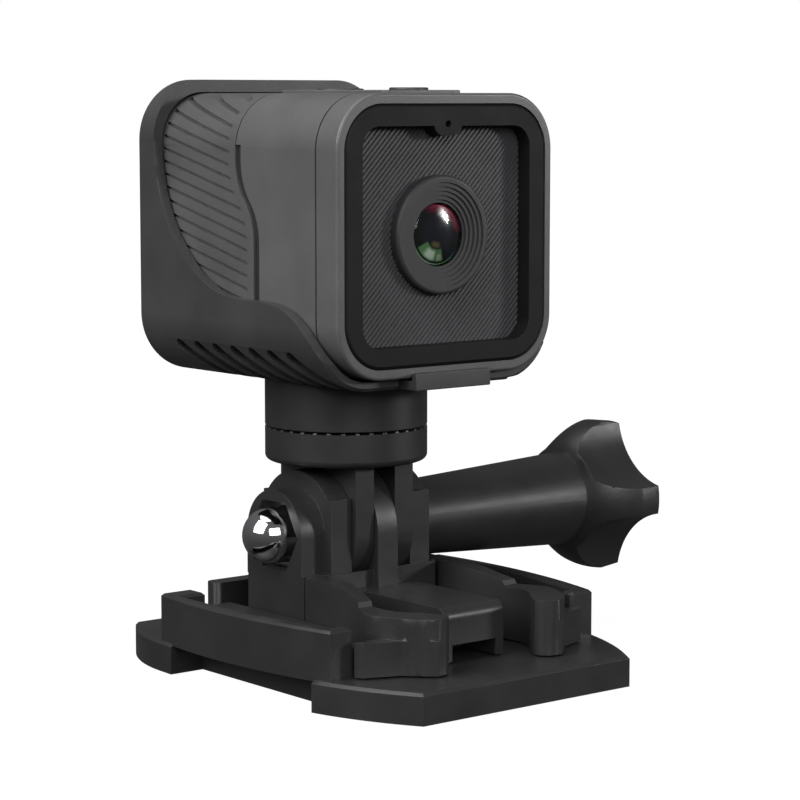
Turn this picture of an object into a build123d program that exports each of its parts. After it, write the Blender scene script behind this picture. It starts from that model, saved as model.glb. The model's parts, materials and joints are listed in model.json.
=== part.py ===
from build123d import *
import math
import os

# Action camera in a swivel cradle on a quick-release strap mount, in millimetres.
# Z is up and the lens looks along -Y.
# The origin is on the underside of the base plate, on the swivel axis.

# ---- driving dimensions: camera body ----
body_width = 32.16
body_bottom = 36.36
body_top = 68.85
body_front = -19.1
body_corner = 6.5
wall = 1.4
bezel_back = -15.3
seam_gap = 0.25
shell_back = 15.3
cover_back = 17.3
body_height = body_top - body_bottom
head_z = (body_bottom + body_top) / 2
half_body = body_width / 2

# ---- front face ----
frame_width, frame_height, frame_corner = 30.0, 30.0, 5.4
window_width, window_height, window_corner = 25.0, 25.1, 2.5
frame_front, frame_back = -19.2, -17.2
frame_chamfer = 0.35
grille_back = -16.2
lens_z = 52.6
lens_ring_radius = 6.9
lens_ring_front = -18.4
glass_radius = 3.6
glass_rim = -17.35

# ---- side seam between the front shell and the ribbed rear shell ----
seam_top_y, seam_low_y = 0.3, -3.25
seam_bend_top, seam_bend_low = 61.0, 51.5
groove_width = 1.13
split_gap = 0.2
groove_depth = 0.6
groove_top, groove_foot = 62.85, 41.0
rib_pitch, rib_slope, rib_cut = 1.5, 0.245, 0.36

# ---- cradle ----
cradle_half, cradle_bottom, cradle_top = 17.64, 35.0, 70.5
cradle_front, cradle_back = -17.4, 18.9
cradle_corner = 7.3
cradle_wall, cradle_floor, cradle_roof = 1.3, 1.1, 1.5
rim_y, rim_foot = 15.0, 64.0
swoosh_y, swoosh_low = -3.1, 45.0
latch_half, latch_gap = 5.6, 0.3
latch_root_y, latch_lip_y, latch_lip_top = -11.6, -20.3, 37.0

# ---- swivel ----
swivel_radius = 9.88
swivel_seam = 28.84
swivel_bottom = 24.65
seam_half_gap = 0.15
bolt_radius, bolt_bore = 2.0, 2.05

# ---- three-prong tilt joint ----
axis_z = 16.35
prong_radius, prong_half, prong_shoulder = 7.5, 6.8, 4.55
middle_radius, middle_foot = 8.1, -8.35
prong_step = 3.0
blade_gap = 0.1
thumb_shaft, thumb_bore = 2.5, 2.56
boss_face, boss_radius = -11.0, 5.45
nut_flats, nut_pocket, nut_face = 8.0, 4.0, -9.4
dome_radius, dome_x = 3.4, -11.5
knuckle_top, knuckle_front, knuckle_rear = 12.05, -7.2, 5.3

# ---- thumbscrew ----
barrel_start, barrel_end = 7.62, 34.9
barrel_thin, barrel_thick = 4.6, 6.0
knob_tip_start, knob_end, knob_radius = 41.3, 44.2, 9.85
scallop_radius, scallop_depth = 9.5, 1.7

# ---- buckle and base ----
plate_thick = 3.65
slide_gap = 0.2
rail_inner, rail_outer, rail_wall = 11.6, 17.65, 14.6
rail_top, rail_lip, lip_front = 7.0, 5.6, -12.0
bar_top, bar_low = 9.33, 3.4
bar_front, bar_rear = -22.6, 8.3
slot_front, slot_rear = -20.7, 5.3
buckle_half = 11.0
flange_half, flange_top = 14.2, 5.4
buckle_low = plate_thick + slide_gap
tongue_half, tongue_front, tongue_top = 4.5, -24.0, 10.1
tail_front, tail_back, tail_half, tail_top = 12.2, 14.0, 11.4, 8.8
arm_pivot_x, arm_pivot_y, arm_root = 10.0, -6.4, 1.0
arm_step_y, arm_low_top = -17.5, 10.3
arm_tip_inside = (6.8, -26.9)
barb_x, barb_top = 17.0, 7.8

os.makedirs("parts", exist_ok=True)


# ---- helpers: each adds to, or cuts from, the piece being built ----
def at_x(x):
    return Plane.YZ.offset(x)


def at_y(y):
    return Plane.XZ.offset(-y)


def block(x, y, z, mode=Mode.ADD):
    """A box between two corners, each given as (low, high)."""
    middle = tuple((low + high) / 2 for low, high in (x, y, z))
    with Locations(middle):
        Box(x[1] - x[0], y[1] - y[0], z[1] - z[0], mode=mode)


def slab(width, height, corner, front, back, x=0, z=head_z, mode=Mode.ADD):
    """A rounded rectangle seen from the front, between two depths."""
    with BuildSketch(at_y(back)) as outline:
        with Locations((x, z)):
            RectangleRounded(width, height, corner)
    extrude(outline.sketch, amount=back - front, mode=mode)


def disc_y(radius, front, back, x=0, z=lens_z, mode=Mode.ADD):
    with BuildSketch(at_y(back)) as outline:
        with Locations((x, z)):
            Circle(radius)
    extrude(outline.sketch, amount=back - front, mode=mode)


def disc_x(radius, left, right, y=0, z=axis_z, mode=Mode.ADD):
    with BuildSketch(at_x(left)) as outline:
        with Locations((y, z)):
            Circle(radius)
    extrude(outline.sketch, amount=right - left, mode=mode)


def disc_z(radius, low, high, x=0, y=0, mode=Mode.ADD):
    with BuildSketch(Plane.XY.offset(low)) as outline:
        with Locations((x, y)):
            Circle(radius)
    extrude(outline.sketch, amount=high - low, mode=mode)


def save(piece, name):
    piece.part.label = name
    export_step(piece.part, f"parts/{name}.step")


# ======================= base: plate, rails and strap bars =======================
with BuildPart() as base_plate:
    with BuildSketch():
        with BuildLine():
            front_corner, waist, rear_corner = (15.6, -33.7), (22.6, -4.0), (18.0, 19.5)
            cheek = ThreePointArc(front_corner, (19.9, -25.0), (22.0, -15.0))
            flank = ThreePointArc(cheek @ 1, waist, (22.3, 7.0))
            ThreePointArc(flank @ 1, (21.2, 13.4), rear_corner)
            Line(rear_corner, (0, rear_corner[1]))
            Line((0, front_corner[1]), front_corner)
            mirror(about=Plane.YZ)
        make_face()
    extrude(amount=plate_thick)
    chamfer(base_plate.faces().sort_by(Axis.Z)[-1].edges(), 0.35)
    for side in (-1, 1):
        strap_notch = (17.8, 25.0) if side > 0 else (-25.0, -17.8)
        block(strap_notch, (slot_front, slot_rear), (-1, plate_thick + 1), Mode.SUBTRACT)
    with BuildSketch(Plane.XY.offset(bar_low)):
        with BuildLine():
            bar_wall = ThreePointArc((21.7, bar_rear), (22.5, -2.0), (19.9, bar_front))
            nose = Line(bar_wall @ 1, (16.9, bar_front))
            Polyline(nose @ 1, (16.6, bar_front + 0.4), (16.6, slot_front), (19.1, slot_front))
            bar_bend = Spline((19.1, slot_front), (19.3, -16.0), (20.4, -10.0), (20.8, -6.5))
            Polyline(bar_bend @ 1, (20.8, slot_rear), (17.4, slot_rear), (17.4, bar_rear), bar_wall @ 0)
        make_face()
        mirror(about=Plane.YZ)
    extrude(amount=bar_top - bar_low)
    rims = base_plate.faces().filter_by(Axis.Z).group_by(Axis.Z)[-1].edges()
    chamfer(rims, 0.3)
    for side in (-1, 1):
        wall_span = sorted((side * rail_wall, side * rail_outer))
        block(wall_span, (bar_front, bar_rear), (bar_low, rail_top))
        lip_span = sorted((side * rail_inner, side * (rail_wall + 0.5)))
        block(lip_span, (lip_front, bar_rear), (rail_lip, rail_top))
save(base_plate, "base_plate")


# ======================= buckle: slides in the rails, carries the prongs =======================
def prong(left, radius, half, shoulder, foot_front):
    """An upright ear: a round head on a flat-sided web that ends in small shoulders."""
    web_top = axis_z + shoulder
    with BuildSketch(at_x(left)) as outline:
        with Locations((0, axis_z)):
            Circle(radius)
            Rectangle(2 * half, 4 * radius, mode=Mode.INTERSECT)
        with BuildLine():
            web_foot = (half, flange_top), (foot_front, flange_top)
            Polyline((-half, web_top), (half, web_top), *web_foot, close=True)
        make_face()
    extrude(outline.sketch, amount=prong_step)


with BuildPart() as buckle:
    block((-flange_half, flange_half), (arm_pivot_y, tail_front), (buckle_low, flange_top))
    block((-17.0, 17.0), (bar_rear + 0.3, tail_front), (buckle_low, flange_top))
    block((-buckle_half, buckle_half), (knuckle_front, knuckle_rear), (buckle_low, knuckle_top))
    with BuildSketch(Plane.XY.offset(buckle_low)):
        with Locations((0, (tail_front + tail_back) / 2 - 0.3)):
            RectangleRounded(2 * tail_half, tail_back - tail_front + 0.6, 1.0)
    extrude(amount=tail_top - buckle_low)
    block((-tongue_half, tongue_half), (tongue_front, knuckle_front), (buckle_low, tongue_top))
    tongue_nose = buckle.edges().filter_by(Axis.X).group_by(Axis.Y)[0].sort_by(Axis.Z)[-1]
    fillet(tongue_nose, 1.3)
    thumb_notch = (tongue_front - 1, tongue_front + 6)
    block((-3.3, 3.3), thumb_notch, (buckle_low - 1, 5.8), Mode.SUBTRACT)
    prong(-prong_radius, prong_radius, prong_half, prong_shoulder, -prong_half)
    prong(prong_step * 1.5, prong_radius, prong_half, prong_shoulder, -prong_half)
    prong(-prong_step / 2, middle_radius, middle_radius, 0, middle_foot)
    disc_x(boss_radius, boss_face, -prong_radius + 0.5)
    boss_span = (boss_face, -prong_radius + 0.5)
    block(boss_span, (-boss_radius, boss_radius), (knuckle_top - 1, axis_z))
    for left in (-prong_step * 1.5, prong_step / 2):
        disc_x(prong_radius + 0.4, left, left + prong_step, mode=Mode.SUBTRACT)
    with BuildSketch(at_x(boss_face)):
        with Locations((0, axis_z)):
            RegularPolygon(nut_flats / 2 + 0.05, 6, major_radius=False)
    extrude(amount=nut_pocket, mode=Mode.SUBTRACT)
    disc_x(thumb_bore, boss_face - 1, prong_radius + 1, mode=Mode.SUBTRACT)
    disc_x(barrel_thin + 0.45, prong_radius, buckle_half + 1, mode=Mode.SUBTRACT)
    for side in (-1, 1):
        beside = sorted((side * 8.1, side * (flange_half + 1)))
        block(beside, (knuckle_front - 1, arm_pivot_y), (buckle_low - 1, knuckle_top + 1), Mode.SUBTRACT)
        root = (side * arm_pivot_x, arm_pivot_y)
        disc_z(arm_root + 0.07, buckle_low - 1, knuckle_top, *root, mode=Mode.SUBTRACT)
save(buckle, "buckle")

# ======================= squeeze arms: spring fingers beside the tongue =======================
with BuildPart() as squeeze_arm_right:
    with BuildSketch(Plane.XY.offset(buckle_low)):
        with BuildLine():
            root_out = (arm_pivot_x + arm_root, arm_pivot_y)
            root_in = (arm_pivot_x - arm_root, arm_pivot_y)
            shank = Line(root_out, (11.2, -14.0))
            pad_points = (13.6, -21.6), (12.3, -25.6), (9.2, -28.6)
            pad = Spline(shank @ 1, *pad_points, tangents=(shank % 1, (-1, -0.5)))
            tip = ThreePointArc(pad @ 1, (7.2, -28.0), arm_tip_inside)
            palm = Spline(tip @ 1, (7.75, -25.2), (10.0, -21.8), (9.5, -15.5), root_in)
            Line(palm @ 1, shank @ 0)
        make_face()
        with Locations((arm_pivot_x, arm_pivot_y)):
            Circle(arm_root)
    extrude(amount=knuckle_top - buckle_low)
    with BuildSketch(at_x(0)):
        with BuildLine():
            shank_top = Spline((arm_pivot_y - 0.6, knuckle_top), (-13.0, 11.8), (arm_step_y, 10.9))
            step = Line(shank_top @ 1, (arm_step_y - 0.3, arm_low_top))
            above = (-31.0, 14.0), (arm_pivot_y - 0.6, 14.0)
            Polyline(step @ 1, (-31.0, arm_low_top), *above, shank_top @ 0)
        make_face()
    extrude(amount=20.0, mode=Mode.SUBTRACT)
    with BuildSketch(Plane.XY.offset(buckle_low)):
        with BuildLine():
            barb_face = (12.5, -25.8), (9.4, -28.8), (8.5, -28.5), (8.6, -26.5)
            Polyline((12.4, -23.2), (barb_x, -23.2), (16.5, -24.3), *barb_face, close=True)
        make_face()
    extrude(amount=barb_top - buckle_low)
save(squeeze_arm_right, "squeeze_arm_right")

with BuildPart() as squeeze_arm_left:
    mirror(squeeze_arm_right.part, about=Plane.YZ)
save(squeeze_arm_left, "squeeze_arm_left")

# ======================= thumbscrew: knob, bolt and acorn nut =======================
thumb_axis = Axis((0, 0, axis_z), (1, 0, 0))
thumb_profile = Plane(origin=(0, 0, axis_z), x_dir=(1, 0, 0), z_dir=(0, -1, 0))

with BuildPart() as thumb_knob:
    with BuildSketch(thumb_profile):
        with BuildLine():
            Polyline((barrel_start, 0), (barrel_start, barrel_thin), (barrel_end, barrel_thick))
            ThreePointArc((barrel_end, barrel_thick), (37.5, 8.45), (knob_tip_start, knob_radius))
            Polyline((knob_tip_start, knob_radius), (knob_end, knob_radius - 0.35), (knob_end, 0))
            Line((knob_end, 0), (barrel_start, 0))
        make_face()
    revolve(axis=thumb_axis)
    scallop_centre = knob_radius * 0.8114 - scallop_depth + scallop_radius
    with BuildSketch(at_x(barrel_end + 0.7)):
        with Locations((0, axis_z)):
            with PolarLocations(scallop_centre, 4, start_angle=45):
                Circle(scallop_radius)
    extrude(amount=knob_end, mode=Mode.SUBTRACT)
    disc_x(thumb_shaft, barrel_start - 1, 30.0, mode=Mode.SUBTRACT)
save(thumb_knob, "thumb_knob")

with BuildPart() as thumb_bolt:
    disc_x(thumb_shaft, -12.5, 30.0)
    chamfer(thumb_bolt.edges().sort_by(Axis.X)[0], 0.4)
save(thumb_bolt, "thumb_bolt")

with BuildPart() as acorn_nut:
    with BuildSketch(at_x(nut_face)):
        with Locations((0, axis_z)):
            RegularPolygon(nut_flats / 2, 6, major_radius=False)
    extrude(amount=boss_face + nut_pocket - 0.1 - nut_face)
    disc_x(dome_radius, dome_x, nut_face + 0.3)
    with Locations((dome_x, 0, axis_z)):
        Sphere(dome_radius)
    disc_x(thumb_shaft + 0.04, -12.7, 0, mode=Mode.SUBTRACT)
save(acorn_nut, "acorn_nut")

# ======================= swivel: fork disc below, cradle disc above =======================
with BuildPart() as swivel_fork:
    disc_z(swivel_radius, swivel_bottom, swivel_seam - seam_half_gap)
    fillet(swivel_fork.edges().sort_by(Axis.Z)[0], 0.8)
    blade = prong_step - 2 * blade_gap
    for left in (-prong_step * 1.5 + blade_gap, prong_step / 2 + blade_gap):
        disc_x(prong_radius - 0.05, left, left + blade)
        blade_y = (0.05 - prong_radius, prong_radius - 0.05)
        block((left, left + blade), blade_y, (axis_z, swivel_bottom + 1))
    with Locations((0, 0, swivel_seam - seam_half_gap)):
        with PolarLocations(swivel_radius - 0.7, 36):
            Box(1.3, 0.5, 0.36)
    disc_z(3.0, swivel_bottom - 0.5, swivel_seam - 0.6, mode=Mode.SUBTRACT)
    disc_z(bolt_bore, swivel_bottom - 1, swivel_seam + 1, mode=Mode.SUBTRACT)
    disc_x(thumb_bore, -prong_radius, prong_radius, mode=Mode.SUBTRACT)
save(swivel_fork, "swivel_fork")

with BuildPart() as swivel_insert:
    disc_z(3.0, swivel_bottom + 0.1, swivel_seam - 0.6)
    disc_z(bolt_radius, swivel_bottom - 1, swivel_seam, mode=Mode.SUBTRACT)
save(swivel_insert, "swivel_insert")

screw_angles = [math.radians(angle) for angle in (90, 210, 330)]
screw_spots = [(7.0 * math.cos(angle), 7.0 * math.sin(angle)) for angle in screw_angles]
with BuildPart() as swivel_top:
    disc_z(swivel_radius, swivel_seam + seam_half_gap, cradle_bottom)
    disc_z(bolt_bore, swivel_seam - 1, cradle_bottom, mode=Mode.SUBTRACT)
    disc_z(4.3, 32.4, cradle_bottom + 1, mode=Mode.SUBTRACT)
    for x, y in screw_spots:
        disc_z(0.9, 30.8, cradle_bottom + 1, x, y, Mode.SUBTRACT)
save(swivel_top, "swivel_top")

with BuildPart() as swivel_washer:
    disc_z(4.0, 32.42, 32.95)
    disc_z(bolt_bore, 32, 34, mode=Mode.SUBTRACT)
save(swivel_washer, "swivel_washer")

with BuildPart() as swivel_bolt:
    disc_z(bolt_radius, swivel_bottom + 0.2, 33.0)
    disc_z(3.6, 32.95, cradle_bottom - 0.15)
    with BuildSketch(Plane.XY.offset(cradle_bottom - 0.15)):
        RegularPolygon(1.25, 6, major_radius=False)
    extrude(amount=-1.3, mode=Mode.SUBTRACT)
save(swivel_bolt, "swivel_bolt")

with BuildPart() as swivel_screws:
    for x, y in screw_spots:
        disc_z(0.9, 31.0, cradle_bottom + 0.3, x, y)
        with Locations((x, y, cradle_bottom + 0.5)):
            Cone(0.9, 1.7, 0.9)
save(swivel_screws, "swivel_screws")

# ======================= cradle: open shell around the back of the body =======================
cradle_z = (cradle_bottom + cradle_top) / 2
cavity_low, cavity_high = cradle_bottom + cradle_floor, cradle_top - cradle_roof


def vent_slots():
    """Seven slanted slots across each lower corner."""
    slope = math.degrees(math.atan2(2.9, 3.9))
    for left in (-cradle_half - 1, 11.0):
        with BuildSketch(at_x(left)) as slots:
            for i in range(7):
                with Locations((7.6 - 3.67 * i, 36.4)):
                    SlotOverall(9.4, 1.5, rotation=slope)
        extrude(slots.sketch, amount=cradle_half - 10.0, mode=Mode.SUBTRACT)


with BuildPart() as cradle:
    slab(2 * cradle_half, cradle_top - cradle_bottom, cradle_corner, cradle_front, cradle_back, z=cradle_z)
    fillet(cradle.faces().sort_by(Axis.Y)[-1].edges(), 1.2)
    chamfer(cradle.faces().sort_by(Axis.Y)[0].edges(), 0.4)
    cavity = 2 * (cradle_half - cradle_wall), cavity_high - cavity_low, cradle_corner - cradle_wall
    cavity_z = (cavity_low + cavity_high) / 2
    slab(*cavity, cradle_front - 1, cradle_back - 1.4, z=cavity_z, mode=Mode.SUBTRACT)
    with BuildSketch(at_x(-20)):
        with BuildLine():
            rim = Line((rim_y, 80), (rim_y, rim_foot))
            bend = Spline(rim @ 1, (9.3, 49.95), (swoosh_y, swoosh_low), tangents=(rim % 1, (-1, 0)))
            sweep_points = (-12.0, 43.8), (-15.4, 41.3), (-19.4, 35.2)
            sweep_low = Spline(bend @ 1, *sweep_points, tangents=(bend % 1, (-1, -1.3)))
            Polyline(sweep_low @ 1, (-30, 35.2), (-30, 80), rim @ 0)
        make_face()
    extrude(amount=40, mode=Mode.SUBTRACT)
    slab(22.0, 17.0, 2.0, cradle_back - 3, cradle_back + 1, mode=Mode.SUBTRACT)
    vent_slots()
    latch_bay = (-latch_half - latch_gap, latch_half + latch_gap)
    block(latch_bay, (cradle_front - 1, latch_root_y), (cradle_bottom - 1, cavity_low + 1), Mode.SUBTRACT)
    disc_x(0.6, -latch_half - 0.1, latch_half + 0.1, latch_root_y, cradle_bottom + 0.55, Mode.SUBTRACT)
    for x, y in screw_spots:
        disc_z(0.95, cradle_bottom - 1, cavity_low, x, y, Mode.SUBTRACT)
        with Locations((x, y, cradle_bottom + 0.6)):
            Cone(0.9, 1.9, 1.1, mode=Mode.SUBTRACT)
save(cradle, "cradle")

with BuildPart() as front_latch:
    block((-latch_half, latch_half), (latch_lip_y, latch_root_y), (cradle_bottom, cavity_low))
    block((-latch_half, latch_half), (latch_lip_y, latch_lip_y + 0.85), (cradle_bottom, latch_lip_top))
    disc_x(0.55, -latch_half, latch_half, latch_root_y, cradle_bottom + 0.55)
save(front_latch, "front_latch")

# ======================= front face of the body =======================
window_z = 52.55
mic_z = 65.33

with BuildPart() as front_bezel:
    slab(body_width, body_height, body_corner, body_front, bezel_back)
    fillet(front_bezel.faces().sort_by(Axis.Y)[0].edges(), 0.35)
    frame_seat = frame_width + 0.1, frame_height + 0.1, frame_corner
    slab(*frame_seat, body_front - 1, grille_back, mode=Mode.SUBTRACT)
    slab(27.0, 27.0, 3.6, body_front - 1, bezel_back + 1, mode=Mode.SUBTRACT)
save(front_bezel, "front_bezel")

with BuildPart() as front_frame:
    slab(frame_width, frame_height, frame_corner, frame_front, frame_back)
    chamfer(front_frame.faces().sort_by(Axis.Y)[0].edges(), frame_chamfer)
    window = window_width, window_height, window_corner
    slab(*window, frame_front - 1, frame_back + 1, z=window_z, mode=Mode.SUBTRACT)
    slab(4.2, 2.9, 1.4, frame_front, frame_back, z=mic_z + 0.1)
    disc_y(0.4, frame_front - 1, frame_back + 1, z=mic_z, mode=Mode.SUBTRACT)
save(front_frame, "front_frame")

with BuildPart() as grille_panel:
    slab(29.4, 29.4, 5.1, frame_back, grille_back)
    disc_y(6.55, frame_back - 1, grille_back + 1, mode=Mode.SUBTRACT)
    disc_y(0.4, frame_back - 1, grille_back + 1, z=mic_z, mode=Mode.SUBTRACT)
save(grille_panel, "grille_panel")

with BuildPart() as microphone:
    block((-1.6, 1.6), (grille_back + 0.05, grille_back + 1.15), (62.8, 65.4))
save(microphone, "microphone")

# ======================= lens =======================
with BuildPart() as lens_ring:
    disc_y(lens_ring_radius, lens_ring_front, frame_back)
    fillet(lens_ring.edges().sort_by(Axis.Y)[0], 0.4)
    disc_y(6.5, frame_back - 0.1, -14.6)
    for i in range(5):
        depth = lens_ring_front + 0.2 * (i + 1)
        radius = 6.05 - 0.5 * i
        disc_y(radius, lens_ring_front - 1, depth, mode=Mode.SUBTRACT)
    disc_y(glass_radius + 0.1, lens_ring_front - 1, -14, mode=Mode.SUBTRACT)
    disc_y(5.1, -16.4, -14, mode=Mode.SUBTRACT)
save(lens_ring, "lens_ring")


def lens(name, rim_front, rim_back, radius, bulge):
    """A round element whose front is a shallow dome over a straight rim."""
    with BuildPart() as element:
        disc_y(radius, rim_front, rim_back)
        ball = (radius**2 + bulge**2) / (2 * bulge)
        with Locations((0, rim_front - bulge + ball, lens_z)):
            Sphere(ball)
        disc_y(radius, rim_front - bulge - 1, rim_back, mode=Mode.INTERSECT)
    save(element, name)


lens("front_element", glass_rim, -15.2, glass_radius, 0.55)
lens("rear_element", -13.4, -12.6, glass_radius, 0.3)

with BuildPart() as lens_spacer:
    disc_y(glass_radius, -15.2, -13.8)
    disc_y(2.7, -16, -13, mode=Mode.SUBTRACT)
save(lens_spacer, "lens_spacer")

with BuildPart() as lens_barrel:
    disc_y(5.0, -16.35, -7.0)
    disc_y(glass_radius + 0.02, -17, -12.55, mode=Mode.SUBTRACT)
    disc_y(2.4, -13, -6, mode=Mode.SUBTRACT)
save(lens_barrel, "lens_barrel")

with BuildPart() as lens_holder:
    slab(12.0, 12.0, 1.0, -10.0, -4.4, z=lens_z)
    disc_y(5.02, -11, -7.0, mode=Mode.SUBTRACT)
    disc_y(2.4, -8, -4, mode=Mode.SUBTRACT)
    slab(6.2, 6.2, 0.3, -6.1, -4, z=lens_z, mode=Mode.SUBTRACT)
    slab(8.4, 8.4, 0.3, -5.5, -4, z=lens_z, mode=Mode.SUBTRACT)
save(lens_holder, "lens_holder")

with BuildPart() as infrared_filter:
    slab(6.1, 6.1, 0.2, -6.05, -5.65, z=lens_z)
save(infrared_filter, "infrared_filter")

with BuildPart() as image_sensor:
    slab(6.5, 5.5, 0.2, -5.2, -4.4, z=lens_z)
save(image_sensor, "image_sensor")

with BuildPart() as sensor_board:
    slab(18.0, 14.0, 0.8, -4.4, -3.6, z=51.6)
save(sensor_board, "sensor_board")


# ======================= body shells =======================
def seam_region(shift, far_y, low=0.0, high=90.0, half_width=20.0, mode=Mode.INTERSECT):
    """Everything between the S-shaped seam, moved by shift, and a far plane."""
    with BuildSketch(at_x(-half_width)) as region:
        with BuildLine():
            upper = Line((seam_top_y + shift, high), (seam_top_y + shift, seam_bend_top))
            middle = ((seam_top_y + seam_low_y) / 2 + shift, (seam_bend_top + seam_bend_low) / 2)
            bend = TangentArc(upper @ 1, middle, tangent=upper % 1)
            turn = TangentArc(bend @ 1, (seam_low_y + shift, seam_bend_low), tangent=bend % 1)
            Polyline(turn @ 1, (seam_low_y + shift, low), (far_y, low), (far_y, high), upper @ 0)
        make_face()
    extrude(region.sketch, amount=2 * half_width, mode=mode)


def inner_slab(margin, front, back, mode=Mode.SUBTRACT):
    """The body's outline, shrunk by a margin, between two depths."""
    slab(body_width - 2 * margin, body_height - 2 * margin, body_corner - margin, front, back, mode=mode)


plate_half, plate_front, plate_rear, plate_top = 5.8, -14.9, 5.4, 69.2
port_front, port_rear, port_low, port_high = -14.3, -3.5, 55.2, 62.2
pin_x, pin_z = half_body - 0.62, port_low + 0.62
shell_front = bezel_back + seam_gap


def top_recess():
    top_span = (plate_front - 0.1, plate_rear + 0.1)
    block((-plate_half - 0.1, plate_half + 0.1), top_span, (body_top - 0.9, body_top + 1), Mode.SUBTRACT)
    for y, radius in ((-12.0, 1.6), (1.0, 1.6)):
        disc_z(radius, body_top - 3, body_top, 0, y, Mode.SUBTRACT)


with BuildPart() as groove_band:
    slab(body_width, body_height, body_corner, shell_front, seam_top_y + 0.1)
    core = body_width - 2 * groove_depth, body_height + 2, 0.1
    slab(*core, shell_front - 1, seam_top_y + 1, mode=Mode.SUBTRACT)
    block((-20, 20), (shell_front - 1, seam_top_y + 1), (groove_foot, groove_top), Mode.INTERSECT)
    seam_region(0, -20)
    seam_region(-groove_width, 20)

with BuildPart() as front_shell:
    slab(body_width, body_height, body_corner, shell_front, seam_top_y)
    inner_slab(wall, shell_front - 1, seam_top_y + 1)
    seam_region(-split_gap, -20)
    add(groove_band.part, mode=Mode.SUBTRACT)
    top_recess()
    recess = (half_body - 1.05, half_body + 1)
    block(recess, (port_front, port_rear), (port_low - 0.2, port_high), Mode.SUBTRACT)
    disc_y(0.68, port_front, port_rear, pin_x, pin_z, Mode.SUBTRACT)
    disc_y(0.3, port_front - 0.4, port_rear + 0.4, pin_x, pin_z, Mode.SUBTRACT)
    block((half_body - 2, half_body), (-13.6, -4.4), (55.9, 59.3), Mode.SUBTRACT)
    block((half_body - 2, half_body), (-14.0, -3.8), (59.9, 61.2), Mode.SUBTRACT)
save(front_shell, "front_shell")

with BuildPart() as seam_seal:
    add(groove_band.part)
    inner_slab(groove_depth - 0.3, shell_front - 1, seam_top_y + 1, mode=Mode.INTERSECT)
    seam_region(-split_gap - 0.02, -20)
    seam_region(0.02 - groove_width, 20)
save(seam_seal, "seam_seal")

with BuildPart() as grip_lines:
    rib_angle = math.atan(rib_slope)
    for i in range(-10, 11):
        with Locations(Location((0, 5, 53.8 + rib_pitch * i), (math.degrees(rib_angle), 0, 0))):
            Box(40, 30, rib_cut)
    slab(body_width + 2, body_height + 2, body_corner, seam_low_y, shell_back + 1, mode=Mode.INTERSECT)
    inner_slab(rib_cut, seam_low_y - 1, shell_back + 2)
    seam_region(1.3, 20)

with BuildPart() as rear_shell:
    slab(body_width, body_height, body_corner, -4, shell_back - 0.12)
    inner_slab(wall, -5, shell_back + 1)
    for x in (-12.3, 12.3):
        for z in (head_z - 12.1, head_z + 12.1):
            disc_y(2.0, 5.4, shell_back - 0.12, x, z)
            disc_y(0.8, 4, shell_back, x, z, Mode.SUBTRACT)
    seam_region(0, 20)
    add(grip_lines.part, mode=Mode.SUBTRACT)
    top_recess()
save(rear_shell, "rear_shell")

with BuildPart() as rear_cover:
    slab(body_width, body_height, body_corner, shell_back, cover_back)
    fillet(rear_cover.faces().sort_by(Axis.Y)[-1].edges(), 0.7)
    slab(24.1, 18.7, 1.5, shell_back - 1, cover_back + 1, mode=Mode.SUBTRACT)
    for x in (-12.3, 12.3):
        for z in (head_z - 12.1, head_z + 12.1):
            disc_y(0.85, shell_back - 1, cover_back + 1, x, z, Mode.SUBTRACT)
            disc_y(1.6, cover_back - 0.9, cover_back + 1, x, z, Mode.SUBTRACT)
save(rear_cover, "rear_cover")

with BuildPart() as rear_cover_screws:
    for x in (-12.3, 12.3):
        for z in (head_z - 12.1, head_z + 12.1):
            disc_y(0.8, 6.5, cover_back - 0.5, x, z)
            disc_y(1.5, cover_back - 0.9, cover_back - 0.15, x, z)
            with BuildSketch(at_y(cover_back - 0.15)) as socket:
                with Locations((x, z)):
                    RegularPolygon(0.65, 6)
            extrude(socket.sketch, amount=0.5, mode=Mode.SUBTRACT)
save(rear_cover_screws, "rear_cover_screws")


def ring_gasket(name, front, back):
    with BuildPart() as gasket:
        slab(body_width - 0.8, body_height - 0.8, body_corner - 0.4, front, back)
        inner_slab(wall, front - 1, back + 1)
    save(gasket, name)


ring_gasket("front_gasket", bezel_back, shell_front)
ring_gasket("rear_gasket", shell_back - 0.12, shell_back)

# ======================= display =======================
with BuildPart() as display_window:
    slab(24.0, 18.6, 1.45, cover_back - 0.9, cover_back - 0.1)
save(display_window, "display_window")

with BuildPart() as display_module:
    slab(23.6, 18.2, 1.4, cover_back - 3.2, cover_back - 0.95)
save(display_module, "display_module")

# ======================= buttons on the raised top plate =======================
button_places = {"power_button": (-12.0, 2.3, 69.5), "shutter_button": (1.0, 2.85, 69.4)}

with BuildPart() as top_plate:
    with BuildSketch(Plane.XY.offset(body_top - 0.9)):
        with Locations((0, (plate_front + plate_rear) / 2)):
            RectangleRounded(2 * plate_half, plate_rear - plate_front, 0.8)
    extrude(amount=plate_top - body_top + 0.9)
    fillet(top_plate.faces().sort_by(Axis.Z)[-1].edges(), 0.15)
    for y, radius, top in button_places.values():
        disc_z(radius + 0.12, body_top - 0.4, plate_top + 1, 0, y, Mode.SUBTRACT)
        disc_z(1.2, body_top - 2, plate_top, 0, y, Mode.SUBTRACT)
save(top_plate, "top_plate")

for name, (y, radius, top) in button_places.items():
    with BuildPart() as button:
        disc_z(radius, body_top - 0.05, top, 0, y)
        fillet(button.edges().sort_by(Axis.Z)[-1], 0.2)
        disc_z(1.0, 66.85, body_top, 0, y)
    save(button, name)

with BuildPart() as button_switches:
    for y in (-12.0, 1.0):
        block((-1.7, 1.7), (y - 1.7, y + 1.7), (64.9, 66.2))
        disc_z(0.8, 66.2, 66.45, 0, y)
save(button_switches, "button_switches")

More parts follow.
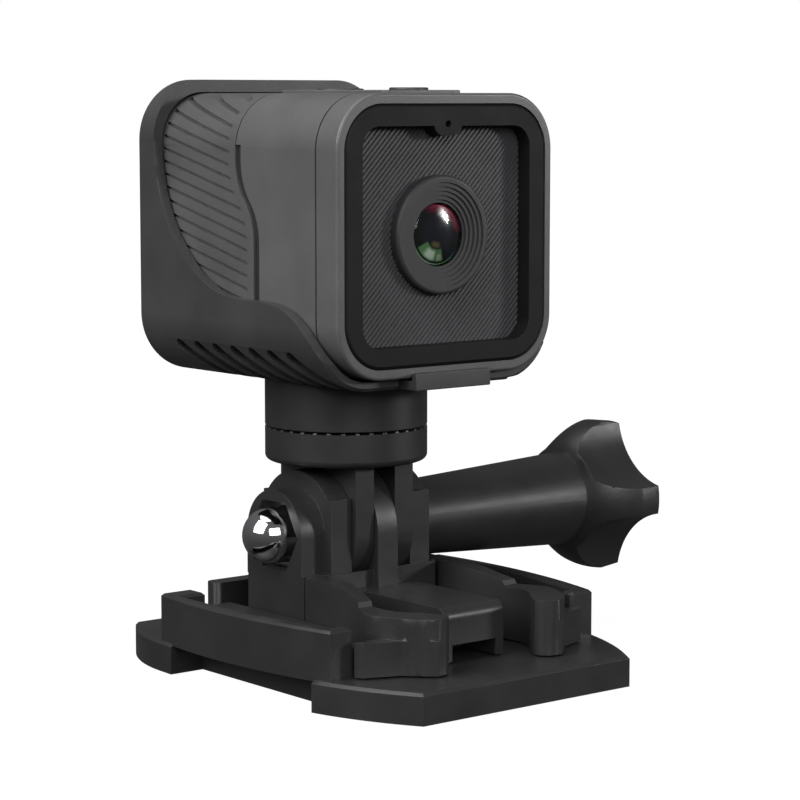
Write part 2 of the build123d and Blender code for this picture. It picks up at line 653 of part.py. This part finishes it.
with BuildPart() as button_board:
    block((-3.6, 3.6), (-14.4, 3.8), (64.3, 64.9))
save(button_board, "button_board")

# ======================= port door and sockets on the +X side =======================
with BuildPart() as port_door:
    block((half_body - 1.0, half_body), (port_front + 0.1, port_rear - 0.1), (pin_z, port_high - 0.1))
    disc_y(0.62, port_front + 0.1, port_rear - 0.1, pin_x, pin_z)
    disc_y(0.32, port_front - 1, port_rear + 1, pin_x, pin_z, Mode.SUBTRACT)
save(port_door, "port_door")

with BuildPart() as door_pin:
    disc_y(0.3, port_front - 0.4, port_rear + 0.4, pin_x, pin_z)
save(door_pin, "door_pin")

with BuildPart() as usb_socket:
    with BuildSketch(at_x(8.0)):
        with Locations((-9.0, 57.6)):
            SlotOverall(8.9, 3.2)
    extrude(amount=6.5)
    with BuildSketch(at_x(14.6)):
        with Locations((-9.0, 57.6)):
            SlotOverall(8.3, 2.6)
    extrude(amount=-5.5, mode=Mode.SUBTRACT)
    block((9.0, 13.8), (-12.3, -5.7), (57.25, 57.95))
save(usb_socket, "usb_socket")

with BuildPart() as card_socket:
    block((-0.8, 14.5), (-14.2, -3.9 + 0.3), (59.95, 61.15))
    block((-0.2, 15), (-13.95, -3.85), (60.2, 60.95), Mode.SUBTRACT)
save(card_socket, "card_socket")

with BuildPart() as memory_card:
    block((-0.1, 14.4), (-13.9, -3.9), (60.25, 60.9))
save(memory_card, "memory_card")

# ======================= inside the body =======================
chassis_posts = [(x, z) for x in (-12.6, 12.6) for z in (head_z - 9.0, head_z + 9.0)]

with BuildPart() as chassis:
    slab(28.6, 23.2, 1.5, -3.1, -2.1)
    for x, z in chassis_posts:
        disc_y(1.5, -2.1, 2.2, x, z)
        disc_y(0.7, -1.0, 3, x, z, Mode.SUBTRACT)
save(chassis, "chassis")

with BuildPart() as main_board:
    slab(28.4, 23.0, 1.0, 2.2, 3.2)
    for x, z in chassis_posts:
        disc_y(0.75, 2, 4, x, z, Mode.SUBTRACT)
    for x, z, side in ((-4.0, head_z + 3, 7.0), (5.5, head_z + 4, 5.0), (5.0, head_z - 5, 6.0)):
        block((x - side / 2, x + side / 2), (1.4, 2.3), (z - side / 2, z + side / 2))
save(main_board, "main_board")

with BuildPart() as board_screws:
    for x, z in chassis_posts:
        disc_y(0.7, -0.6, 3.3, x, z)
        disc_y(1.3, 3.2, 4.0, x, z)
save(board_screws, "board_screws")

with BuildPart() as heat_spreader:
    slab(20.0, 21.0, 1.0, 0.3, 1.35)
save(heat_spreader, "heat_spreader")

with BuildPart() as battery:
    slab(20.0, 26.0, 1.6, 4.3, 11.6)
save(battery, "battery")

with BuildPart() as speaker:
    disc_z(4.2, 38.3, 41.2, -7.5, -9.5)
save(speaker, "speaker")
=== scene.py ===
import json
import math

import bmesh
import bpy
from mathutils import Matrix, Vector


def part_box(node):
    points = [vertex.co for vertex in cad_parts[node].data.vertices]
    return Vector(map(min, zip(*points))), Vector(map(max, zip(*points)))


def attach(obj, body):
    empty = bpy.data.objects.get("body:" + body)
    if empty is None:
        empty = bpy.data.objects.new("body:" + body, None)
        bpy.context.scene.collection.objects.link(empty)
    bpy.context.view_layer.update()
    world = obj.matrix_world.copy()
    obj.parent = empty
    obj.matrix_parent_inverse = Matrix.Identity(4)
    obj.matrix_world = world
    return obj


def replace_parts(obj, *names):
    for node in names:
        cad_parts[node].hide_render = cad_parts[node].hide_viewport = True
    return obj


# Action camera in a swivel cradle: looks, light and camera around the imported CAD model.
# Lengths are in metres, in the CAD model's frame: Z is up and the lens looks along -Y.

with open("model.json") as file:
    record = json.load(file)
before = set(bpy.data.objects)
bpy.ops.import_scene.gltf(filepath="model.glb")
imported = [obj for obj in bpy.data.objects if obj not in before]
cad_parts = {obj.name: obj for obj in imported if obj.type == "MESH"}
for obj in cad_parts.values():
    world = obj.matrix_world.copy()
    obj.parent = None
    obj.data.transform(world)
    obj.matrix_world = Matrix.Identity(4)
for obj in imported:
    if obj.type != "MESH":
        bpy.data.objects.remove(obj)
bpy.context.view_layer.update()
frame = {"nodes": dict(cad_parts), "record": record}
nodes = frame["nodes"]
slots = {part["node"]: part["material_slot"] for part in frame["record"]["subparts"]}
MM = 0.001

# Light from the world: below the horizon and overhead.
WORLD_LOW = (0.055, 0.055, 0.055)
WORLD_HIGH = (0.13, 0.13, 0.135)

# The window in the front face, in millimetres: its centre, its half width and the two round holes.
WINDOW_Z = 52.55
WINDOW_REACH = 12.75
LENS_Z = 52.6
LENS_HOLE = 6.56
MIC_Z = 65.33
MIC_HOLE = 0.4

# The ridges across the window.
RIDGE_ANGLE = math.radians(45.4)
RIDGE_PITCH = 0.50
RIDGE_DEPTH = 0.20
RIDGE_CREST = 0.14
RIDGE_FOOT = 0.36
SHORTEST_RIDGE = 0.4


# ---------------------------------------------------------------- camera and stage
def aim(thing, target):
    """Turns a camera or a light so that it looks at a point."""
    thing.rotation_euler = (Vector(target) - thing.location).to_track_quat("-Z", "Y").to_euler()


def add_camera():
    """The view from the front left, a little above the object."""
    data = bpy.data.cameras.new("camera_view")
    data.lens = 117.29
    data.sensor_width = 36.0
    data.clip_start = 0.01
    camera = bpy.data.objects.new("camera_view", data)
    bpy.context.scene.collection.objects.link(camera)
    camera.location = (-0.1934, -0.2485, 0.0682)
    aim(camera, (0.00509, -0.00413, 0.03179))
    bpy.context.scene.camera = camera


def softbox(name, place, size, watts, target=(0, 0, 0.045), roll=0.0):
    """A rectangular lamp that looks at a point, turned about its own axis by roll degrees."""
    data = bpy.data.lights.new(name, "AREA")
    data.shape = "RECTANGLE"
    data.size, data.size_y = size
    data.energy = watts
    light = bpy.data.objects.new(name, data)
    bpy.context.scene.collection.objects.link(light)
    light.location = place
    aim(light, target)
    light.rotation_euler.rotate_axis("Z", math.radians(roll))


def add_world():
    """White behind the object; as light it is grey above and falls off to dark grey below."""
    world = bpy.data.worlds.new("studio")
    bpy.context.scene.world = world
    world.use_nodes = True
    tree = world.node_tree
    make, link = tree.nodes.new, tree.links.new
    height = make("ShaderNodeSeparateXYZ")
    link(make("ShaderNodeTexCoord").outputs["Generated"], height.inputs["Vector"])
    ramp = make("ShaderNodeValToRGB")
    ramp.color_ramp.elements[0].position = 0.30
    ramp.color_ramp.elements[0].color = (*WORLD_LOW, 1)
    ramp.color_ramp.elements[1].position = 0.75
    ramp.color_ramp.elements[1].color = (*WORLD_HIGH, 1)
    rise = make("ShaderNodeMapRange")
    rise.inputs["From Min"].default_value = -1.0
    link(height.outputs["Z"], rise.inputs["Value"])
    link(rise.outputs["Result"], ramp.inputs["Fac"])
    mix = make("ShaderNodeMix")
    mix.data_type = "RGBA"
    mix.inputs["B"].default_value = (1.0, 1.0, 1.0, 1)
    link(make("ShaderNodeLightPath").outputs["Is Camera Ray"], mix.inputs["Factor"])
    link(ramp.outputs["Color"], mix.inputs["A"])
    link(mix.outputs["Result"], tree.nodes["Background"].inputs["Color"])


def add_lights():
    """Three soft panels, and a small one at the right that makes the spark on the lens."""
    softbox("key_left", (-0.70, 0.00, 0.54), (0.70, 0.70), 9.2)
    softbox("fill_front", (-0.28, -0.90, 0.42), (0.80, 0.50), 5.4)
    softbox("top_panel", (-0.10, 0.10, 0.80), (0.70, 0.60), 3.0)
    softbox("right_front", (0.63, -0.56, 0.200), (0.060, 0.125), 2.2, (0, -0.017, 0.0526), 45.0)


def add_floor():
    """A plain, nearly white floor that shows a faint shadow and throws no light up."""
    mesh = bpy.data.meshes.new("floor")
    form = bmesh.new()
    bmesh.ops.create_circle(form, cap_ends=True, segments=96, radius=3.0)
    form.to_mesh(mesh)
    form.free()
    floor = bpy.data.objects.new("floor", mesh)
    bpy.context.scene.collection.objects.link(floor)
    floor.location.z = -0.0001
    look = Material("floor_white")
    paper = look.blend(look.noise(0.05), (0.90, 0.90, 0.90), (0.93, 0.93, 0.93))
    look.shade(Roughness=0.9, Specular_IOR_Level=0.0, Base_Color=paper)
    glow = look.node("ShaderNodeEmission", Color=(1.0, 1.0, 1.0, 1.0), Strength=1.06)
    away = look.node("ShaderNodeVectorMath", {"operation": "LENGTH"})
    look.put(away, "Vector", look.place)
    far = look.between(away.outputs["Value"], 0.9, 1.0, 0.12, 0.45)
    mix = look.node("ShaderNodeMixShader", Fac=far)
    look.surface(mix, look.shader.outputs["BSDF"], glow.outputs["Emission"])
    mesh.materials.append(look.data)
    floor.visible_diffuse = False
    floor.visible_glossy = False
    floor.visible_transmission = False
    floor.visible_shadow = False


# ---------------------------------------------------------------- material makers
class Material:
    """A node material with its main shader, and short ways to add and join nodes."""

    def __init__(self, name):
        self.data = bpy.data.materials.new(name)
        self.data.use_nodes = True
        self.tree = self.data.node_tree
        self.shader = self.tree.nodes["Principled BSDF"]
        self.place = self.node("ShaderNodeTexCoord").outputs["Object"]

    def node(self, kind, settings=None, **inputs):
        """Adds a node; an input's name has _ in place of each space."""
        made = self.tree.nodes.new(kind)
        for name, value in (settings or {}).items():
            setattr(made, name, value)
        for name, value in inputs.items():
            self.put(made, name.replace("_", " "), value)
        return made

    def put(self, node, name, value):
        """Sets an input, or joins it to another node's output."""
        socket = node.inputs[name]
        if isinstance(value, bpy.types.NodeSocket):
            self.tree.links.new(value, socket)
        else:
            socket.default_value = value

    def shade(self, **inputs):
        """Sets the main shader's inputs."""
        for name, value in inputs.items():
            self.put(self.shader, name.replace("_", " "), value)

    def noise(self, size, detail=2.0, roughness=0.5):
        """Noise whose grains are about size metres across."""
        texture = self.node("ShaderNodeTexNoise", Scale=1.0 / size, Detail=detail, Roughness=roughness)
        self.put(texture, "Vector", self.place)
        return texture.outputs["Fac"]

    def between(self, factor, low, high, start=0.3, end=0.7):
        """Maps a factor to a number between low and high."""
        return self.node(
            "ShaderNodeMapRange",
            Value=factor, From_Min=start, From_Max=end, To_Min=low, To_Max=high,
        ).outputs["Result"]

    def blend(self, factor, first, second):
        """A colour between two colours."""
        mix = self.node("ShaderNodeMix", {"data_type": "RGBA"})
        self.put(mix, "Factor", factor)
        for socket, colour in (("A", first), ("B", second)):
            self.put(mix, socket, colour if isinstance(colour, bpy.types.NodeSocket) else (*colour, 1))
        return mix.outputs["Result"]

    def math(self, operation, *values):
        """The output of one step of arithmetic."""
        made = self.node("ShaderNodeMath", {"operation": operation})
        for socket, value in zip(made.inputs, values):
            if isinstance(value, bpy.types.NodeSocket):
                self.tree.links.new(value, socket)
            else:
                socket.default_value = value
        return made.outputs[0]

    def band(self, value, low, high, soft):
        """One between low and high, fading to nothing over soft on each side."""
        rise = self.node(
            "ShaderNodeMapRange", {"interpolation_type": "SMOOTHSTEP"},
            Value=value, From_Min=low - soft, From_Max=low + soft,
        ).outputs["Result"]
        fall = self.node(
            "ShaderNodeMapRange", {"interpolation_type": "SMOOTHSTEP"},
            Value=value, From_Min=high - soft, From_Max=high + soft, To_Min=1.0, To_Max=0.0,
        ).outputs["Result"]
        return self.math("MULTIPLY", rise, fall)

    def bump(self, height, depth):
        """Roughens the main shader's surface by depth metres."""
        bump = self.node("ShaderNodeBump", Height=height, Distance=depth, Strength=1.0)
        self.shade(Normal=bump.outputs["Normal"])

    def surface(self, mix, first, second):
        """Makes the mix of two shaders the material's surface."""
        self.tree.links.new(first, mix.inputs[1])
        self.tree.links.new(second, mix.inputs[2])
        self.tree.links.new(mix.outputs["Shader"], self.tree.nodes["Material Output"].inputs["Surface"])

    def length(self, first, second):
        """The length of a flat vector with these two parts."""
        squares = self.math("ADD", self.math("POWER", first, 2.0), self.math("POWER", second, 2.0))
        return self.math("SQRT", squares)


def moulded(name, colour, rough, depth=0.000012, spread=0.12, gloss=0.5):
    """Satin moulded plastic: spark-eroded grain, faint flow marks and rubbed patches."""
    made = Material(name)
    flow = made.noise(0.009, 3.0)
    fine = made.noise(0.00022, 2.0, 0.6)
    darker = [value * (1 - spread) for value in colour]
    lighter = [value * (1 + spread) for value in colour]
    tone = made.blend(made.between(flow, 0.0, 1.0), darker, lighter)
    speck = made.between(fine, 0.92, 1.08)
    shaded = made.node("ShaderNodeVectorMath", {"operation": "SCALE"})
    made.put(shaded, "Vector", tone)
    made.put(shaded, "Scale", speck)
    made.shade(Base_Color=shaded.outputs["Vector"])
    made.shade(Roughness=made.between(made.noise(0.004, 3.0), rough - 0.05, rough + 0.05))
    made.shade(Specular_IOR_Level=gloss)
    made.bump(fine, depth)
    return made.data


def metal(name, colour, rough):
    """Metal with fine machining marks."""
    made = Material(name)
    marks = made.noise(1 / 6000, 3.0)
    duller = [value * 0.92 for value in colour]
    made.shade(Metallic=1.0)
    made.shade(Base_Color=made.blend(made.noise(0.003), duller, colour))
    made.shade(Roughness=made.between(marks, rough * 0.8, rough * 1.25))
    made.bump(marks, 0.000003)
    return made.data


def lens_coating():
    """Dark inner glass painted with coloured reflections of the lamps in its coatings: red above, green
    below, pale at the foot.

    Radii are in millimetres from the lens's axis, and angles in degrees from +X towards +Z.
    """
    made = Material("lens_coating")
    across = made.node("ShaderNodeSeparateXYZ")
    made.put(across, "Vector", made.place)
    x = made.math("MULTIPLY", across.outputs["X"], 1000.0)
    z = made.math("SUBTRACT", made.math("MULTIPLY", across.outputs["Z"], 1000.0), LENS_Z)
    radius = made.length(x, z)
    turn = made.math("ARCTAN2", z, x)
    angle = made.math("MODULO", made.math("ADD", made.math("MULTIPLY", turn, 180 / math.pi), 360.0), 360.0)
    swirl = made.between(made.noise(0.0009, 3.0), -0.03, 0.03)
    wavy = made.math("ADD", radius, swirl)

    def layer(below, colour, mask):
        return made.blend(mask, below, colour)

    def painted_reflection_patch(radii, angles, soft, blur, level=1.0):
        ring = made.band(wavy, *radii, soft)
        sector = made.band(angle, *angles, blur)
        return made.math("MULTIPLY", made.math("MULTIPLY", ring, sector), level)

    centre = made.band(radius, -1.0, 2.3, 0.8)
    tint_and_painted_reflections = layer((0.008, 0.011, 0.010), (0.017, 0.018, 0.024), centre)
    off = made.length(made.math("ADD", x, 0.33), made.math("ADD", z, 0.56))
    # Painted reflections of the lamps in the coatings, over the dark glass: a red crescent across the top,
    # red and rose arcs on the rim, green and pale green patches and a green rim below, a yellowish patch
    # near the centre and blue arcs on the rim at the sides.
    red_reflection_crescent = made.math("MULTIPLY", made.band(off, 3.2, 6.0, 0.28), made.band(angle, 8.0, 112.0, 14.0))
    tint_and_painted_reflections = layer(tint_and_painted_reflections, (0.12, 0.010, 0.026), red_reflection_crescent)
    tint_and_painted_reflections = layer(tint_and_painted_reflections, (0.40, 0.04, 0.10), painted_reflection_patch((3.18, 3.34), (38.0, 100.0), 0.07, 18.0, 0.55))
    tint_and_painted_reflections = layer(tint_and_painted_reflections, (0.30, 0.06, 0.07), painted_reflection_patch((3.42, 3.60), (95.0, 122.0), 0.05, 8.0, 0.7))
    tint_and_painted_reflections = layer(tint_and_painted_reflections, (0.25, 0.10, 0.10), painted_reflection_patch((3.44, 3.60), (2.0, 30.0), 0.05, 8.0, 0.6))
    tint_and_painted_reflections = layer(tint_and_painted_reflections, (0.10, 0.22, 0.09), painted_reflection_patch((1.75, 3.12), (207.0, 286.0), 0.10, 2.5))
    tint_and_painted_reflections = layer(tint_and_painted_reflections, (0.55, 0.68, 0.55), painted_reflection_patch((2.0, 3.0), (228.0, 259.0), 0.22, 9.0, 0.85))
    tint_and_painted_reflections = layer(tint_and_painted_reflections, (0.30, 0.40, 0.26), painted_reflection_patch((2.3, 3.05), (268.0, 283.0), 0.12, 3.0, 0.9))
    tint_and_painted_reflections = layer(tint_and_painted_reflections, (0.015, 0.03, 0.02), painted_reflection_patch((1.7, 3.2), (262.3, 264.8), 0.08, 1.2, 0.85))
    tint_and_painted_reflections = layer(tint_and_painted_reflections, (0.15, 0.12, 0.06), painted_reflection_patch((0.95, 1.55), (228.0, 280.0), 0.25, 14.0, 0.8))
    tint_and_painted_reflections = layer(tint_and_painted_reflections, (0.20, 0.45, 0.17), painted_reflection_patch((3.40, 3.56), (158.0, 312.0), 0.04, 10.0, 0.9))
    tint_and_painted_reflections = layer(tint_and_painted_reflections, (0.60, 0.80, 0.62), painted_reflection_patch((3.40, 3.54), (222.0, 268.0), 0.04, 18.0, 0.75))
    tint_and_painted_reflections = layer(tint_and_painted_reflections, (0.05, 0.12, 0.30), painted_reflection_patch((3.38, 3.56), (146.0, 160.0), 0.05, 6.0, 0.7))
    tint_and_painted_reflections = layer(tint_and_painted_reflections, (0.05, 0.12, 0.30), painted_reflection_patch((3.38, 3.56), (308.0, 326.0), 0.05, 6.0, 0.7))
    made.shade(Base_Color=tint_and_painted_reflections, Roughness=made.between(made.noise(0.0012), 0.10, 0.2))
    made.shade(Specular_IOR_Level=0.3)
    return made.data


def clear_glass():
    """Clear front glass: see-through face on, mirror-like towards the rim, with faint wipe marks."""
    made = Material("lens_glass")
    smear = made.between(made.noise(0.0015, 3.0), 0.02, 0.06)
    see = made.node("ShaderNodeBsdfTransparent")
    shine = made.node("ShaderNodeBsdfGlossy", Roughness=smear)
    rim = made.node("ShaderNodeFresnel", IOR=1.38)
    mix = made.node("ShaderNodeMixShader", Fac=rim.outputs["Fac"])
    made.surface(mix, see.outputs["BSDF"], shine.outputs["BSDF"])
    return made.data


looks = {
    "mount_black": moulded("mount_black", (0.019, 0.019, 0.0195), 0.40),
    "cradle_charcoal": moulded("cradle_charcoal", (0.038, 0.038, 0.039), 0.42),
    "body_grey": moulded("body_grey", (0.085, 0.085, 0.086), 0.38),
    "rib_grey": moulded("rib_grey", (0.075, 0.075, 0.076), 0.42),
    "frame_black": moulded("frame_black", (0.010, 0.010, 0.011), 0.55, spread=0.05, gloss=0.15),
    "grille_grey": moulded("grille_grey", (0.047, 0.047, 0.050), 0.45, gloss=0.4),
    "lens_ring_black": moulded("lens_ring_black", (0.036, 0.036, 0.038), 0.45, depth=0.000004, gloss=0.3),
    "optics_black": moulded("optics_black", (0.01, 0.01, 0.011), 0.6),
    "seal_rubber": moulded("seal_rubber", (0.012, 0.012, 0.012), 0.6, spread=0.2),
    "button_grey": moulded("button_grey", (0.03, 0.03, 0.031), 0.4),
    "component_black": moulded("component_black", (0.015, 0.015, 0.016), 0.5),
    "battery_wrap": moulded("battery_wrap", (0.06, 0.06, 0.075), 0.35),
    "display_dark": moulded("display_dark", (0.008, 0.009, 0.011), 0.12, depth=0.0),
    "board_green": moulded("board_green", (0.02, 0.10, 0.05), 0.35),
    "window_glass": moulded("window_glass", (0.006, 0.006, 0.008), 0.06, depth=0.0),
    "lens_glass": clear_glass(),
    # painted reflections of the lamps on the inner lens glass
    "lens_coating": lens_coating(),
    "chrome": metal("chrome", (0.80, 0.80, 0.81), 0.07),
    "steel": metal("steel", (0.58, 0.58, 0.59), 0.25),
    "brass": metal("brass", (0.72, 0.56, 0.30), 0.3),
    "aluminium": metal("aluminium", (0.68, 0.69, 0.70), 0.35),
}


# ---------------------------------------------------------------- CAD nodes: material and softened edges
SHARP = math.radians(30)


def paint(piece, look):
    """Gives a piece one of the looks."""
    piece.data.materials.clear()
    piece.data.materials.append(looks[look])


def soften(piece, width):
    """Smooth shading, and a fine round of this width on every edge sharper than SHARP."""
    mesh = piece.data
    if "custom_normal" in mesh.attributes:
        mesh.attributes.remove(mesh.attributes["custom_normal"])
    mesh.shade_smooth()
    if not width:
        mesh.set_sharp_from_angle(angle=SHARP)
        return
    weld = piece.modifiers.new("weld", "WELD")
    weld.merge_threshold = 0.002 * MM
    flat = piece.modifiers.new("flat", "DECIMATE")
    flat.decimate_type = "DISSOLVE"
    flat.angle_limit = math.radians(0.5)
    bevel = piece.modifiers.new("bevel", "BEVEL")
    bevel.width = width
    bevel.segments = 2
    bevel.limit_method = "ANGLE"
    bevel.angle_limit = SHARP
    bevel.use_clamp_overlap = True
    weights = piece.modifiers.new("weights", "WEIGHTED_NORMAL")
    weights.keep_sharp = False


edge_rounds = {"thumb_knob": 0.35, "cradle": 0.3, "base_plate": 0.2, "buckle": 0.2, "lens_ring": 0}
for node, look in slots.items():
    paint(nodes[node], look)
    soften(nodes[node], edge_rounds.get(node, 0.12) * MM)


# ---------------------------------------------------------------- the grille: a plate with slanted ridges
def add_piece(name, form, look, body):
    """Turns a finished form into a piece that rides on a body, in a node's finish."""
    bmesh.ops.recalc_face_normals(form, faces=form.faces)
    mesh = bpy.data.meshes.new(name)
    form.to_mesh(mesh)
    form.free()
    mesh.materials.append(looks[look])
    piece = bpy.data.objects.new(name, mesh)
    bpy.context.scene.collection.objects.link(piece)
    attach(piece, body)
    return piece


def loop(form, points):
    """A closed ring of edges through the points."""
    corners = [form.verts.new(point) for point in points]
    return [form.edges.new(pair) for pair in zip(corners, corners[1:] + corners[:1])]


def ring_points(radius, y, z, count):
    """Points on a circle in the plane of one y, about the axis x = 0 at height z."""
    turns = [2 * math.pi * i / count for i in range(count)]
    return [Vector((radius * math.cos(t), y, z + radius * math.sin(t))) for t in turns]


def rounded_square(half, corner, y, z):
    """Points on a square with round corners in the plane of one y."""
    points = []
    steps = 8
    flat = half - corner
    for quarter, (side_x, side_z) in enumerate(((1, 1), (-1, 1), (-1, -1), (1, -1))):
        for i in range(steps + 1):
            turn = math.radians(90 * quarter + 90 * i / steps)
            away_x, away_z = corner * math.cos(turn), corner * math.sin(turn)
            points.append(Vector((side_x * flat + away_x, y, z + side_z * flat + away_z)))
    return points


def grille():
    """Flat plate with a lens hole and a microphone hole, and slanted ridges across its front."""
    low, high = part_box("grille_panel")
    front, back = low.y, high.y
    valley = front + RIDGE_DEPTH * MM
    form = bmesh.new()
    edges = loop(form, rounded_square((high.x - low.x) / 2, 5.1 * MM, back, (low.z + high.z) / 2))
    edges += loop(form, ring_points(LENS_HOLE * MM, back, LENS_Z * MM, 96))
    edges += loop(form, ring_points(MIC_HOLE * MM, back, MIC_Z * MM, 24))
    bmesh.ops.triangle_fill(form, use_beauty=True, edges=edges)
    swept = bmesh.ops.extrude_face_region(form, geom=form.faces[:])
    moved = [part for part in swept["geom"] if isinstance(part, bmesh.types.BMVert)]
    bmesh.ops.translate(form, verts=moved, vec=(0, valley - back, 0))
    along = Vector((math.cos(RIDGE_ANGLE), 0, math.sin(RIDGE_ANGLE)))
    across = Vector((-along.z, 0, along.x))
    centre = Vector((0, 0, LENS_Z * MM))
    count = int(2 * WINDOW_REACH / RIDGE_PITCH)
    for i in range(-count, count + 1):
        offset = i * RIDGE_PITCH * MM
        start = centre + across * offset
        for first, last in ridge_spans(start, along, offset):
            if last - first > SHORTEST_RIDGE * MM:
                ends = start + along * first, start + along * last
                ridge(form, ends, across, front + 0.02 * MM, valley)
    return add_piece("ridged_grille", form, "grille_grey", "camera")


def ridge_spans(start, along, offset):
    """The stretches of a line that lie inside the window square and outside the lens hole."""
    low, high = -1.0, 1.0
    reach = WINDOW_REACH * MM
    for place, slope in ((start.x, along.x), (start.z - WINDOW_Z * MM, along.z)):
        ends = sorted(((-reach - place) / slope, (reach - place) / slope))
        low, high = max(low, ends[0]), min(high, ends[1])
    if high <= low:
        return []
    if abs(offset) >= LENS_HOLE * MM:
        return [(low, high)]
    gap = math.sqrt((LENS_HOLE * MM) ** 2 - offset**2) + 0.03 * MM
    return [(low, -gap), (gap, high)]


def ridge(form, ends, across, crest, foot):
    """A closed bar with sloping sides, sunk a little into the plate."""
    sunk = foot + 0.05 * MM
    top, base = RIDGE_CREST / 2, RIDGE_FOOT / 2
    half = (base + 0.01, sunk), (base, foot), (top, crest)
    outline = [(-aside, y) for aside, y in half] + list(reversed(half))
    rings = []
    for end in ends:
        ring = []
        for aside, y in outline:
            place = end + across * (aside * MM)
            ring.append(form.verts.new((place.x, y, place.z)))
        rings.append(ring)
    for i in range(len(outline)):
        j = (i + 1) % len(outline)
        form.faces.new((rings[0][i], rings[0][j], rings[1][j], rings[1][i]))
    form.faces.new(rings[0])
    form.faces.new(list(reversed(rings[1])))


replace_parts(grille(), "grille_panel")


# ---------------------------------------------------------------- the front lens: two domed glasses
def turned_lens(name, look, radius, rim_front, rim_back, bulge, rings=14, segments=96):
    """A round element with a domed front, closed at the back."""
    form = bmesh.new()
    ball = (radius**2 + bulge**2) / (2 * bulge)
    front = rim_front - bulge
    profile = []
    for i in range(1, rings + 1):
        out = radius * i / rings
        profile.append((out, front + ball - math.sqrt(ball**2 - out**2)))
    profile.append((radius, rim_back))
    circles = [ring_points(out, y, LENS_Z * MM, segments) for out, y in profile]
    rows = [[form.verts.new(point) for point in circle] for circle in circles]
    tip = form.verts.new((0, front, LENS_Z * MM))
    for i in range(segments):
        j = (i + 1) % segments
        form.faces.new((tip, rows[0][i], rows[0][j]))
        for inner, outer in zip(rows, rows[1:]):
            form.faces.new((inner[i], outer[i], outer[j], inner[j]))
    form.faces.new(rows[-1])
    for face in form.faces:
        face.smooth = len(face.verts) < 5
    return add_piece(name, form, look, "camera")


front_low, front_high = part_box("front_element")
lens_radius = (front_high.x - front_low.x) / 2
dome_bulge = 0.55 * MM
dome_rim = front_low.y + dome_bulge
dome_back = dome_rim + 0.30 * MM
# The inner glass behind the dome carries painted reflections of the lamps.
reflection_glass_rim = dome_rim + 0.35 * MM
dome = turned_lens("front_glass", "lens_glass", lens_radius, dome_rim, dome_back, dome_bulge)
reflection_glass = turned_lens("painted_reflection_glass", "lens_coating", lens_radius, reflection_glass_rim, front_high.y, 0.45 * MM)
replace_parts(dome, "front_element")
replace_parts(reflection_glass, "front_element")

add_camera()
add_floor()
add_world()
add_lights()
bpy.context.scene.view_settings.view_transform = "Standard"
